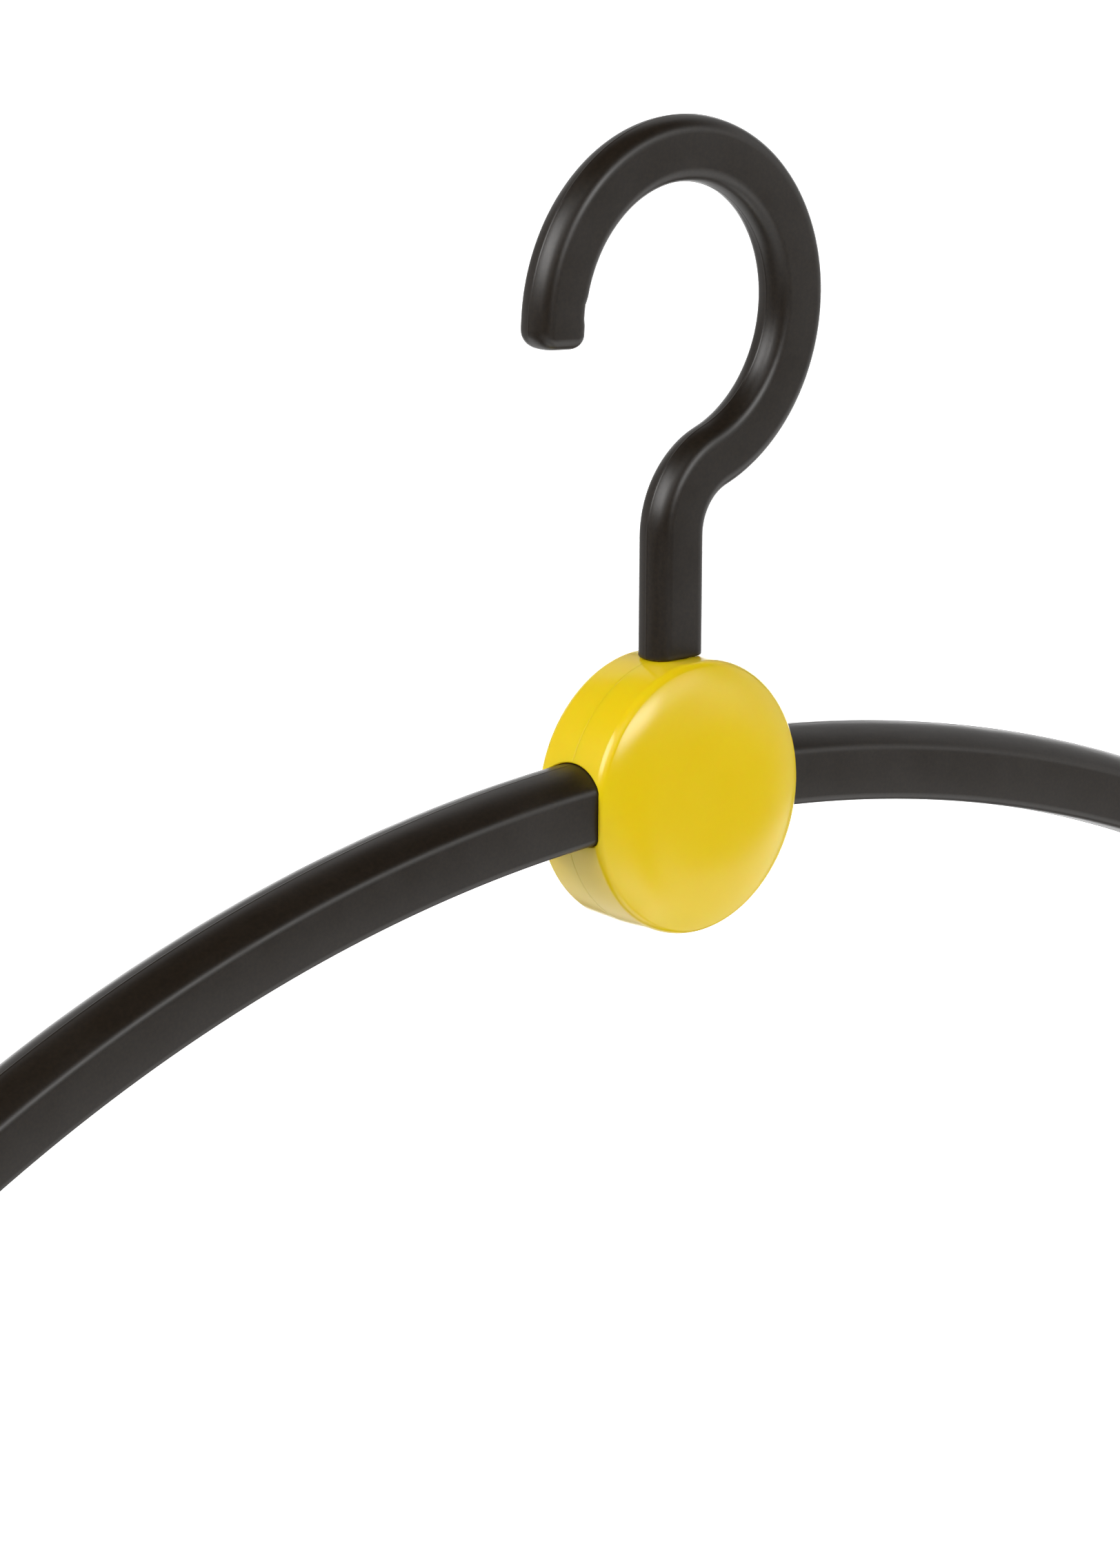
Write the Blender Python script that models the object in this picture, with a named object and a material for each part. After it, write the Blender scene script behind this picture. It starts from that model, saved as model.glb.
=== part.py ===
"""Clothes hanger: a moulded hook that swivels on a round two-shell hub, and a one-piece arched bow
that runs through the hub.

Millimetres in the constants, metres in the scene. +Z is up, +X runs along the bow and -Y is the
front. The origin is the rail seat, the inside top of the hook, straight above the swivel axis.
Heights in the constants are measured from the hub's centre.
"""

import math

import bmesh
import bpy
from mathutils import Matrix, Vector

MM = 0.001
GAP = 0.3              # assembly gap between neighbouring pieces
FRONT, REAR = -1, 1    # sign of y on each side of the parting plane

# hub, a pillow-shaped drum on the Y axis
HUB_R = 25.0           # radius of the rim at the parting plane
PARTING_INSET = 0.01   # how much smaller the rim is at the opening of each shell
RIM_DRAFT = 0.22       # how much smaller the rim is at the outer edge of each shell
RIM_HALF = 6.5         # rim half width, up to the edge radius
EDGE_R = 2.0           # radius between rim and face
EDGE_STEPS = 4
FACE_RISE = 2.4        # how far the pillow face stands out from its edge
FACE_POWER = 5.0       # how flat the middle of the face is
FACE_SHARES = (0.95, 0.89, 0.82, 0.73, 0.61, 0.44)   # profile points, as shares of FACE_REACH
WALL = 2.1
CAVITY_HALF = 7.75     # the hollow ends this far from the parting plane
ROOT = 0.1             # how far bosses and ribs run into the wall behind the hollow
SPOT_FLAT = 24.4       # height of the flat on the crown that the stem turns over
SPOT_HALF_X, SPOT_HALF_Y = 9.0, 11.0
CUT_TOP = 30.0         # top of the cutters that open the crown

EDGE_CENTRE = HUB_R - RIM_DRAFT - EDGE_R
# slope of the face where the edge radius takes over, and the radius at which it does
FACE_SLOPE = math.atan(FACE_RISE * FACE_POWER / EDGE_CENTRE)
FACE_REACH = EDGE_CENTRE + EDGE_R * math.sin(FACE_SLOPE)

# hook
HOOK_W = 11.85         # section width in the hook's plane
HOOK_D = 7.65          # section depth, front to back
HOOK_CROWN = 1.6       # bulge of each edge
HOOK_BEVEL = 0.7
STEM_BASE = SPOT_FLAT + GAP
STEM_TOP = 46.4        # where the bend starts
BEND_R = 14.0
BEND_ANGLE = 69.4
LOOP_R = 28.7
LOOP_ANGLE = 245.6
ARC_STEP = 9.0         # degrees between sections round the loop, and about that in the bend
TIP_STRAIGHT = 2.6
TIP_ROUND = 3.0
# rounding of the tip: share of TIP_ROUND, inset across, inset in depth
TIP_SECTIONS = ((0.0, 0.0, 0.0), (0.5, 0.4, 0.0), (0.8, 1.15, 0.3), (1.0, 2.5, 1.2))

# where a crown's facets meet, as shares of its half depth; the middle facet is flat
CROWN_SHARES = (1.0, 0.8, 0.55, 0.25)

# neck and swivel hardware
NECK_R = 3.5
NECK_OVERLAP = 3.0     # how far the neck runs up into the stem
NECK_END = 15.4
NECK_CHAMFER = 0.8
BUSH_R = 4.9
BUSH_BORE = 3.6
BUSH_FLANGE_R = 7.0
SEAT_Z = 21.0          # underside of the block that the bush flange bears on
BLOCK_TOP = 22.6
BLOCK_HALF_X = 7.6
FLANGE_T = 1.2
BUSH_TOP = 22.9        # the bush ends under a web of the shells, out of sight
WEB_LOW = BUSH_TOP + GAP
BUSH_HOLE_LOW = 16.0
WASHER_R, WASHER_T = 6.4, 0.8
CLIP_R, CLIP_T = 5.6, 1.0
CLIP_MOUTH_HALF = 2.0
CLIP_MOUTH_Y = (-9.0, -0.8)
GROOVE_R = 2.6
FLANGE_TOP = SEAT_Z - GAP
WASHER_TOP = FLANGE_TOP - FLANGE_T - GAP
CLIP_TOP = WASHER_TOP - WASHER_T - GAP

# bow
BOW_R = 348.0          # radius of the centre line
BOW_Z = 2.1            # height of the centre line in the middle
BOW_HALF_SPAN = 220.0
BOW_END_SPAN = 6.0     # share of the half span left to the rounded end
BOW_H = 13.9
BOW_D = 14.5
BOW_TOP_CROWN = 3.5
BOW_BOTTOM_CROWN = 0.5
BOW_BEVEL = 0.6
BOW_STEP = 2.6         # degrees between sections
BOW_END_SECTIONS = ((1.8, 0.5), (3.2, 1.4), (4.2, 3.2))   # advance past the last station, inset
WINDOW_HALF_SPAN, WINDOW_STEP = 31.0, 1.4
BOW_HOLE_HALF = 12.0

# ribs along the bow; their near edge is trimmed back by the bow window
LEDGE_NEAR = BOW_H / 2 + 0.1
LEDGE_STEP = 0.93
# name, name of the guide copy, half span, lower and upper edge from the bow's centre line
LEDGES = (("ledge_top", "lt", 21.6, LEDGE_NEAR, LEDGE_NEAR + 1.5),
          ("ledge_low", "ll", 22.2, -LEDGE_NEAR - 1.4, -LEDGE_NEAR))

# fasteners; distances called "at" are from the parting plane
SCREW_SPOTS = ((14.2, 15.0), (-14.2, 15.0), (12.0, -16.8), (-12.0, -16.8))   # x, z
BOSS_R = {FRONT: 2.8, REAR: 3.4}
SCREW_R = 1.1
SCREW_HEAD_R, SCREW_HEAD_T = 2.1, 1.4
BORE_START = 1.0       # screw holes start this far beyond the parting plane
PILOT_END_AT = 6.9
COUNTERBORE_AT = 5.0
COUNTERBORE_END_AT = 13.0
HEAD_AT = COUNTERBORE_AT + GAP
POINT_AT, POINT_TAPER_AT = 6.4, 5.2
CROSS_DEPTH = 0.7
CROSS_LONG, CROSS_SHORT = 1.25, 0.25   # half sizes of each slot of the cross recess
CROSS_CLEAR_AT = 9.0
PIN_R = 1.5
PIN_HALF = 8.8
PIN_CHAMFER_R, PIN_CHAMFER_L = 0.4, 0.6
PIN_SOCKET_AT = 5.0

for leftover in list(bpy.data.objects):
    bpy.data.objects.remove(leftover, do_unlink=True)


# ---------------------------------------------------------------- sections

def crowned(width, depth, crown_low, crown_high, bevel):
    """Closed section, counter-clockwise in (u, v), with flat front and back and faceted edges.
    u is across, v is y. The edge at +u has crown_high."""
    def edge(sign, crown):
        half = depth / 2 - bevel
        points = []
        for share in [-s for s in CROWN_SHARES] + list(reversed(CROWN_SHARES)):
            v = half * share
            u = width / 2 - crown * (v / (depth / 2)) ** 2
            points.append((sign * u, v))
        return points

    high = edge(1, crown_high)
    low = edge(-1, crown_low)
    high_flat = high[0][0] - bevel
    low_flat = low[0][0] + bevel
    return ([(high_flat, -depth / 2)] + high + [(high_flat, depth / 2)]
            + [(low_flat, depth / 2)] + low[::-1] + [(low_flat, -depth / 2)])


def hook_section(inset_across=0.0, inset_depth=0.0):
    return crowned(HOOK_W - 2 * inset_across, HOOK_D - 2 * inset_depth,
                   HOOK_CROWN, HOOK_CROWN, HOOK_BEVEL)


def bow_section(grow=0.0):
    return crowned(BOW_H + 2 * grow, BOW_D + 2 * grow, BOW_BOTTOM_CROWN, BOW_TOP_CROWN, BOW_BEVEL)


# ---------------------------------------------------------------- paths

def hook_stations():
    """Centre line of the hook as (x, z, heading) from the stem's base to the tip, and the height
    of the loop's centre. The short straight between bend and loop is as long as it takes to bring
    the loop's centre over the stem."""
    bend = math.radians(BEND_ANGLE)
    link = (LOOP_R * math.cos(bend) - BEND_R * (1 - math.cos(bend))) / math.sin(bend)
    stations = [(0.0, STEM_BASE, 90.0), (0.0, STEM_TOP, 90.0)]
    count = round(BEND_ANGLE / ARC_STEP)
    for k in range(1, count + 1):
        angle = bend * k / count
        stations.append((BEND_R - BEND_R * math.cos(angle), STEM_TOP + BEND_R * math.sin(angle),
                         90.0 - math.degrees(angle)))

    # the bend's last station moves to the middle of the straight
    bend_x, bend_z, start = stations[-1]
    heading = math.radians(start)
    x = bend_x + link * math.cos(heading)
    z = bend_z + link * math.sin(heading)
    stations[-1] = ((bend_x + x) / 2, (bend_z + z) / 2, start)

    # loop stations lie half a step either side of the top, so a flat facet is centred there
    centre_x = x - LOOP_R * math.sin(heading)
    centre_z = z + LOOP_R * math.cos(heading)
    end = start + LOOP_ANGLE
    before = int((180.0 - start) / ARC_STEP - 0.5)
    after = int((end - 180.0) / ARC_STEP)
    for degrees in [180.0 + ARC_STEP * (k + 0.5) for k in range(-before, after)] + [end]:
        angle = math.radians(degrees)
        stations.append((centre_x + LOOP_R * math.sin(angle),
                         centre_z - LOOP_R * math.cos(angle), degrees))
    return stations, centre_z


def bow_stations(half_span, step=BOW_STEP):
    """Centre line of the bow as (x, z, heading), from -X to +X."""
    limit = math.degrees(math.asin(half_span / BOW_R))
    count = 2 * math.ceil(limit / step)
    stations = []
    for k in range(count + 1):
        angle = math.radians(-limit + 2 * limit * k / count)
        stations.append((BOW_R * math.sin(angle), BOW_Z - BOW_R + BOW_R * math.cos(angle),
                         -math.degrees(angle)))
    return stations


def section_at(station, section, advance=0.0):
    """Section set square to a station, moved on along its heading by advance.
    u is measured to the left of the heading, seen from the front."""
    x, z, degrees = station
    heading = math.radians(degrees)
    x += advance * math.cos(heading)
    z += advance * math.sin(heading)
    return [Vector((x - u * math.sin(heading), v, z + u * math.cos(heading)))
            for u, v in section]


# ---------------------------------------------------------------- bodies

def finish(mesh, name, turn=None):
    bmesh.ops.recalc_face_normals(mesh, faces=mesh.faces)
    if turn:
        bmesh.ops.rotate(mesh, verts=mesh.verts, cent=(0, 0, 0), matrix=turn)
    data = bpy.data.meshes.new(name)
    mesh.to_mesh(data)
    mesh.free()
    return data


def loft(rings, name):
    """Closed body through rings of equal length, with the two ends filled."""
    mesh = bmesh.new()
    rows = [[mesh.verts.new(point * MM) for point in ring] for ring in rings]
    count = len(rows[0])
    for a, b in zip(rows, rows[1:]):
        for k in range(count):
            j = (k + 1) % count
            mesh.faces.new((a[k], a[j], b[j], b[k]))
    mesh.faces.new(rows[0][::-1])
    mesh.faces.new(rows[-1])
    return finish(mesh, name)


def turned(profile, segments, name, axis="Y"):
    """Closed profile of (radius, along) spun round an axis. Points on the axis are shared.
    On the Y axis, positive along is towards the front."""
    mesh = bmesh.new()
    columns = []
    for radius, along in profile:
        if radius < 1e-6:
            columns.append([mesh.verts.new((0, 0, along * MM))])
            continue
        angles = [2 * math.pi * k / segments for k in range(segments)]
        columns.append([mesh.verts.new((radius * MM * math.cos(angle),
                                        radius * MM * math.sin(angle), along * MM))
                        for angle in angles])
    for a, b in zip(columns, columns[1:] + columns[:1]):
        if len(a) == 1 and len(b) == 1:
            continue
        for k in range(segments):
            j = (k + 1) % segments
            if len(a) == 1:
                mesh.faces.new((a[0], b[j], b[k]))
            elif len(b) == 1:
                mesh.faces.new((a[k], a[j], b[0]))
            else:
                mesh.faces.new((a[k], a[j], b[j], b[k]))
    return finish(mesh, name, Matrix.Rotation(math.radians(90), 3, "X") if axis == "Y" else None)


def rod(name, radius, low, high, segments=24):
    return turned([(0, low), (radius, low), (radius, high), (0, high)], segments, name)


def washer(name, bore, radius, top, thickness):
    low = top - thickness
    return turned([(bore, top), (radius, top), (radius, low), (bore, low)], 36, name, "Z")


def box(name, low, high):
    x0, y0, z0 = low
    x1, y1, z1 = high
    return loft([[Vector((x0, y0, z)), Vector((x1, y0, z)), Vector((x1, y1, z)), Vector((x0, y1, z))]
                 for z in (z0, z1)], name)


def span(side, near, far):
    """Two distances from the parting plane as a low and a high coordinate on the given side."""
    return sorted((side * near, side * far))


# ---------------------------------------------------------------- materials and objects

def material(name, colour, roughness, metallic=0.0):
    made = bpy.data.materials.new(name)
    made.use_nodes = True
    shader = made.node_tree.nodes["Principled BSDF"]
    shader.inputs["Base Color"].default_value = (*colour, 1.0)
    shader.inputs["Roughness"].default_value = roughness
    shader.inputs["Metallic"].default_value = metallic
    return made


BLACK = material("black_plastic", colour=(0.035, 0.031, 0.028), roughness=0.42)
YELLOW = material("yellow_plastic", colour=(0.74, 0.56, 0.035), roughness=0.22)
ACETAL = material("white_acetal", colour=(0.82, 0.81, 0.78), roughness=0.4)
STEEL = material("zinc_steel", colour=(0.62, 0.62, 0.63), roughness=0.3, metallic=1.0)
SPRING = material("spring_steel", colour=(0.3, 0.3, 0.31), roughness=0.35, metallic=1.0)


def pivot(name, height):
    empty = bpy.data.objects.new(name, None)
    bpy.context.scene.collection.objects.link(empty)
    empty.location = (0, 0, height * MM)
    return empty


def place(name, data, paint, parent, spot=(0, 0, 0), smooth=35.0):
    """Object for a piece; edges sharper than smooth degrees stay sharp."""
    body = bpy.data.objects.new(name, data)
    bpy.context.scene.collection.objects.link(body)
    body.parent = parent
    body.location = Vector(spot) * MM
    if paint:
        data.materials.append(paint)
    data.shade_smooth()
    data.set_sharp_from_angle(angle=math.radians(smooth))
    return body


def cutter(name, data, parent, spot=(0, 0, 0)):
    """Helper object for a boolean, hidden from renders."""
    body = place(name, data, None, parent, spot)
    body.hide_render = True
    body.display_type = "WIRE"
    return body


def boolean(body, other, operation):
    modifier = body.modifiers.new(operation.lower() + "_" + other.name, "BOOLEAN")
    modifier.operation = operation
    modifier.solver = "EXACT"
    modifier.object = other


def add(body, name, data, spot=(0, 0, 0)):
    boolean(body, cutter(name, data, body.parent, spot), "UNION")


def cut(body, name, data, spot=(0, 0, 0)):
    boolean(body, cutter(name, data, body.parent, spot), "DIFFERENCE")


# ---------------------------------------------------------------- hook and bow

def seat_height(loop_centre_z):
    """Height of the flat facet inside the top of the loop."""
    facet_share = CROWN_SHARES[-1] * (HOOK_D / 2 - HOOK_BEVEL) / (HOOK_D / 2)
    inner_half = HOOK_W / 2 - HOOK_CROWN * facet_share ** 2
    return loop_centre_z + (LOOP_R - inner_half) * math.cos(math.radians(ARC_STEP / 2))


def neck_mesh():
    """Neck under the stem, with a groove for the retaining clip."""
    groove_top = CLIP_TOP + GAP / 2
    groove_low = CLIP_TOP - CLIP_T - GAP / 2
    top = STEM_BASE + NECK_OVERLAP
    return turned([(0, top), (NECK_R, top), (NECK_R, groove_top), (GROOVE_R, groove_top),
                   (GROOVE_R, groove_low), (NECK_R, groove_low), (NECK_R, NECK_END + NECK_CHAMFER),
                   (NECK_R - NECK_CHAMFER, NECK_END), (0, NECK_END)], 32, "neck", "Z")


def build_hook(stations, rail):
    """Swept section with a rounded tip, and a turned neck under the stem."""
    rings = [section_at(station, hook_section()) for station in stations]
    for share, across, depth in TIP_SECTIONS:
        rings.append(section_at(stations[-1], hook_section(across, depth),
                                TIP_STRAIGHT + TIP_ROUND * share))
    hook = place("hook", loft(rings, "hook"), BLACK, rail, smooth=40)
    add(hook, "neck_join", neck_mesh())


def build_bow(swivel):
    """One swept arch with rounded ends, and a hole for the locking pin."""
    def end(station, sign):
        return [section_at(station, bow_section(-inset), sign * advance)
                for advance, inset in BOW_END_SECTIONS]

    stations = bow_stations(BOW_HALF_SPAN - BOW_END_SPAN)
    rings = end(stations[0], -1)[::-1]
    rings += [section_at(station, bow_section()) for station in stations]
    rings += end(stations[-1], 1)
    bow = place("bow", loft(rings, "bow"), BLACK, swivel, smooth=40)
    hole = rod("bow_pin_hole", PIN_R + GAP, -BOW_HOLE_HALF, BOW_HOLE_HALF)
    cut(bow, "bow_pin_hole", hole, (0, 0, BOW_Z))


# ---------------------------------------------------------------- hub

def face_height(radius):
    """Distance of the pillow face from the parting plane."""
    rise = FACE_RISE * (1 - (radius / FACE_REACH) ** FACE_POWER)
    return RIM_HALF + EDGE_R * math.cos(FACE_SLOPE) + rise


def shell_profile():
    """One half of the hub, opening at the parting plane."""
    profile = [(HUB_R - PARTING_INSET, GAP / 2)]
    for k in range(EDGE_STEPS + 1):
        angle = (math.pi / 2 - FACE_SLOPE) * k / EDGE_STEPS
        profile.append((EDGE_CENTRE + EDGE_R * math.cos(angle),
                        RIM_HALF + EDGE_R * math.sin(angle)))
    for share in FACE_SHARES:
        profile.append((FACE_REACH * share, face_height(FACE_REACH * share)))
    return profile + [(0.0, face_height(0.0)), (0.0, CAVITY_HALF),
                      (HUB_R - WALL, CAVITY_HALF), (HUB_R - WALL, GAP / 2)]


def shared_cutters(swivel):
    """Passage for the bow, hole for bush and neck, and flat on the crown, cut in both shells."""
    window = loft([section_at(station, bow_section(GAP))
                   for station in bow_stations(WINDOW_HALF_SPAN, WINDOW_STEP)], "bow_window")
    bush_hole = turned([(0, BUSH_HOLE_LOW), (BUSH_R + GAP, BUSH_HOLE_LOW), (BUSH_R + GAP, WEB_LOW),
                        (NECK_R + GAP, WEB_LOW), (NECK_R + GAP, CUT_TOP), (0, CUT_TOP)],
                       40, "bush_hole", "Z")
    spot_face = box("spot_face", (-SPOT_HALF_X, -SPOT_HALF_Y, SPOT_FLAT),
                    (SPOT_HALF_X, SPOT_HALF_Y, CUT_TOP))
    return [cutter(data.name, data, swivel) for data in (window, bush_hole, spot_face)]


def ledge_mesh(name, half_span, low, high, y0, y1):
    """Rib along the bow, from the face of the shell to near the parting plane."""
    corners = ((low, y0), (low, y1), (high, y1), (high, y0))
    return loft([section_at(station, corners)
                 for station in bow_stations(half_span, LEDGE_STEP)], name)


def screw_hole(name, side):
    """Pilot hole in the front shell, counterbored hole in the rear one."""
    bore = SCREW_R + GAP
    if side == FRONT:
        return rod(name + "_pilot", bore, -BORE_START, PILOT_END_AT, 16)
    head = SCREW_HEAD_R + GAP
    return turned([(0, BORE_START), (bore, BORE_START), (bore, -COUNTERBORE_AT),
                   (head, -COUNTERBORE_AT), (head, -COUNTERBORE_END_AT),
                   (0, -COUNTERBORE_END_AT)], 24, name + "_bore")


def build_shell(name, side, swivel, shared):
    data = turned(shell_profile(), 72, name)
    if side == REAR:
        data.transform(Matrix.Rotation(math.radians(180), 4, "Z"))
    shell = place(name, data, YELLOW, swivel, smooth=30)

    # solid parts inside the hollow
    inside = (GAP / 2, CAVITY_HALF + ROOT)
    y0, y1 = span(side, *inside)
    block = box(name + "_neck_block", (-BLOCK_HALF_X, y0, SEAT_Z), (BLOCK_HALF_X, y1, BLOCK_TOP))
    add(shell, name + "_neck_block", block)
    for ledge, guide, half_span, low, high in LEDGES:
        rib = ledge_mesh(f"{name}_{guide}", half_span, low, high, y0, y1)
        cutter(f"{name}_{guide}", rib, swivel)   # guide copy, not used by a boolean
        add(shell, f"{name}_{ledge}", rib.copy())
    for k, (x, z) in enumerate(SCREW_SPOTS, 1):
        boss = rod(name + "_boss", BOSS_R[side], *span(-side, *inside))
        add(shell, f"{name}_boss_{k}", boss, (x, 0, z))

    # openings
    for tool in shared:
        boolean(shell, tool, "DIFFERENCE")
    for k, (x, z) in enumerate(SCREW_SPOTS, 1):
        cut(shell, f"{name}_hole_{k}", screw_hole(name, side), (x, 0, z))
    socket = rod(name + "_socket", PIN_R + GAP, *span(-side, PIN_SOCKET_AT, PIN_HALF + GAP))
    cut(shell, name + "_pin_socket", socket, (0, 0, BOW_Z))


# ---------------------------------------------------------------- swivel hardware and fasteners

def build_bush(swivel):
    flange_low = FLANGE_TOP - FLANGE_T
    bush = turned([(BUSH_BORE, BUSH_TOP), (BUSH_R, BUSH_TOP), (BUSH_R, FLANGE_TOP),
                   (BUSH_FLANGE_R, FLANGE_TOP), (BUSH_FLANGE_R, flange_low),
                   (BUSH_BORE, flange_low)], 40, "swivel_bush", "Z")
    place("swivel_bush", bush, ACETAL, swivel)


def build_washer(rail):
    ring = washer("thrust_washer", NECK_R + GAP, WASHER_R, WASHER_TOP, WASHER_T)
    place("thrust_washer", ring, STEEL, rail)


def build_clip(rail):
    """Ring in the neck's groove, with its mouth open to the front."""
    ring = washer("retaining_clip", GROOVE_R + GAP, CLIP_R, CLIP_TOP, CLIP_T)
    clip = place("retaining_clip", ring, SPRING, rail)
    y0, y1 = CLIP_MOUTH_Y
    cut(clip, "clip_mouth", box("clip_mouth", (-CLIP_MOUTH_HALF, y0, CLIP_TOP - 3),
                                (CLIP_MOUTH_HALF, y1, CLIP_TOP + 2)))


def build_screw(k, spot, swivel):
    """Screw with its head to the rear and a cross recess of two slots."""
    head_end = HEAD_AT + SCREW_HEAD_T
    screw = turned([(0, POINT_AT), (SCREW_R * 0.45, POINT_AT), (SCREW_R, POINT_TAPER_AT),
                    (SCREW_R, -HEAD_AT), (SCREW_HEAD_R, -HEAD_AT),
                    (SCREW_HEAD_R, -HEAD_AT - SCREW_HEAD_T * 0.6),
                    (SCREW_HEAD_R * 0.8, -head_end), (0, -head_end)], 20, "shell_screw")
    body = place(f"shell_screw_{k}", screw, STEEL, swivel, spot)
    for slot, half_x, half_z in (("slot_a", CROSS_LONG, CROSS_SHORT),
                                 ("slot_b", CROSS_SHORT, CROSS_LONG)):
        cross = box("cross", (-half_x, head_end - CROSS_DEPTH, -half_z),
                    (half_x, CROSS_CLEAR_AT, half_z))
        cut(body, f"{slot}_{k}", cross, spot)


def build_pin(swivel):
    tip_r = PIN_R - PIN_CHAMFER_R
    shoulder = PIN_HALF - PIN_CHAMFER_L
    pin = turned([(0, -PIN_HALF), (tip_r, -PIN_HALF), (PIN_R, -shoulder),
                  (PIN_R, shoulder), (tip_r, PIN_HALF), (0, PIN_HALF)], 20, "bow_locking_pin")
    place("bow_locking_pin", pin, STEEL, swivel, (0, 0, BOW_Z))


# ---------------------------------------------------------------- assembly

def build_hanger():
    """The hook's side stays on the rail, the hub and bow turn on the neck under it."""
    stations, loop_centre_z = hook_stations()
    drop = -seat_height(loop_centre_z)
    swivel = pivot("swivel_axis", drop)
    rail = pivot("rail_side", drop)

    build_hook(stations, rail)
    build_bow(swivel)
    shared = shared_cutters(swivel)
    build_shell("hub_front_shell", FRONT, swivel, shared)
    build_shell("hub_rear_shell", REAR, swivel, shared)
    build_bush(swivel)
    build_washer(rail)
    build_clip(rail)
    for k, (x, z) in enumerate(SCREW_SPOTS, 1):
        build_screw(k, (x, 0, z), swivel)
    build_pin(swivel)


build_hanger()
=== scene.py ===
"""Clothes hanger: a round yellow hub in two shells, a black hook turning in its top and a black
curved bow running through it. The front is -Y, the bow reaches along X and the hook rises along +Z.
Sizes are in millimetres from the hub's centre; meshes are built in metres."""

import math

import bmesh
import bpy
import numpy as np
from mathutils import Matrix, Vector
from mathutils.bvhtree import BVHTree
from mathutils.geometry import barycentric_transform


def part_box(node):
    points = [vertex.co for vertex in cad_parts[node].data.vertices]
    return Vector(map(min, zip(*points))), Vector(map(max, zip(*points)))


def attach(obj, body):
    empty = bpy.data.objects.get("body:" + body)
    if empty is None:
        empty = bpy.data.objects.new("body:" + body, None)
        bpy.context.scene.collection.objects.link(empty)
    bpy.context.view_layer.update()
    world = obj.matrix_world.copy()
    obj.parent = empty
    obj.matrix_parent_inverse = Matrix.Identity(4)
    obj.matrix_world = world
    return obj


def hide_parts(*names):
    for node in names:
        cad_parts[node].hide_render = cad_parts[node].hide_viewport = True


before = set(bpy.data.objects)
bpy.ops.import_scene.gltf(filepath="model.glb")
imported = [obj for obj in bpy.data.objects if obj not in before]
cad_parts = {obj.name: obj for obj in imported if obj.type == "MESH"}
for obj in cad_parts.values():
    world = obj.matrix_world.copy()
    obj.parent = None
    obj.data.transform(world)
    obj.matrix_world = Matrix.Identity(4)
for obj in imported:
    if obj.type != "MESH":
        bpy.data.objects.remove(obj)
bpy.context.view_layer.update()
MM = 0.001

# ------------------------------------------------------------------ driving dimensions
# hub
HUB_R = 25.0
RIM_DRAFT, RIM_HALF = 0.22, 6.5           # taper of the rim's radius, half depth of the rim
EDGE_R = 2.0                              # rounding between rim and face
FACE_RISE, FACE_POWER = 2.4, 5.0          # pillow shape of the faces
WALL, CAVITY_HALF = 2.1, 7.75
SPOT_FLAT, SEAT_Z = 24.4, 21.0            # flat on the rim's crown, underside of the block in the top
SEAM = 0.008                              # gap from each shell to the parting plane
SCREW_SPOTS = ((14.2, 15.0), (-14.2, 15.0), (12.0, -16.8), (-12.0, -16.8))      # x, z

# hook: section, path, end and neck
HOOK_W, HOOK_D, HOOK_CROWN, HOOK_FILLET = 11.85, 7.65, 1.6, 2.75
STEM_BASE, STEM_TOP = 24.7, 46.4
BEND_R, BEND_ANGLE = 14.0, 69.4
LOOP_R, LOOP_ANGLE = 28.7, 245.6
ARC_STEP = 0.9                            # longest step between stations on an arc
TIP_LENGTH = 5.65
TIP_IN, TIP_OUT, TIP_EDGE = 2.9, 3.7, 2.3                # roundings: inner edge, outer edge, faces
PINCH, PINCH_EASE = 0.36, 0.6             # step in the inner edge, share of it lost at the end
NECK_R, NECK_END = 3.5, 15.4
GROOVE_R, GROOVE_TOP, GROOVE_WIDTH = 2.6, SEAT_Z - 2.75, 1.3

# bow
BOW_R, BOW_Z = 348.0, 2.1                 # radius of its curve, height of its middle at x = 0
BOW_H, BOW_D = 13.9, 14.5
BOW_TOP_CROWN, BOW_BOTTOM_CROWN = 3.5, 0.5
BOW_FILLET, BOW_FILLET_LOW = 2.4, 1.5
BOW_CROWN_STEPS = 22
BOW_END_R, BOW_END_DOME = 3.9, 0.7        # rounding of the ends, dome beyond it
BOW_GAP = 0.1                             # clearance between bow and hub
PIN_BORE_R = 1.8

pin_low, pin_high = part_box("bow_locking_pin")
HUB_Z = (pin_low.z + pin_high.z) / 2 / MM - BOW_Z        # height of the hub's centre in the frame


# ------------------------------------------------------------------ mesh tools
def outward(mesh):
    """Turns all faces of a closed mesh outwards."""
    work = bmesh.new()
    work.from_mesh(mesh)
    bmesh.ops.recalc_face_normals(work, faces=work.faces)
    if work.calc_volume(signed=True) < 0:
        bmesh.ops.reverse_faces(work, faces=work.faces)
    work.to_mesh(mesh)
    work.free()
    mesh.update()
    return mesh


def closed_mesh(name, points, faces):
    """Mesh in metres from points in millimetres round the hub's centre."""
    points = np.array(points, float).reshape(-1, 3)
    points[:, 2] += HUB_Z
    mesh = bpy.data.meshes.new(name)
    mesh.from_pydata((points * MM).tolist(), [], faces)
    return outward(mesh)


def loft(rings, name="cutter"):
    """Closed body through rings of (x, y, z), all with the same number of points."""
    size = len(rings[0])
    faces = []
    for start in range(0, (len(rings) - 1) * size, size):
        after = start + size
        faces += [(start + k, start + (k + 1) % size, after + (k + 1) % size, after + k)
                  for k in range(size)]
    faces.append(tuple(range(size - 1, -1, -1)))
    last = (len(rings) - 1) * size
    faces.append(tuple(last + k for k in range(size)))
    return closed_mesh(name, rings, faces)


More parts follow.
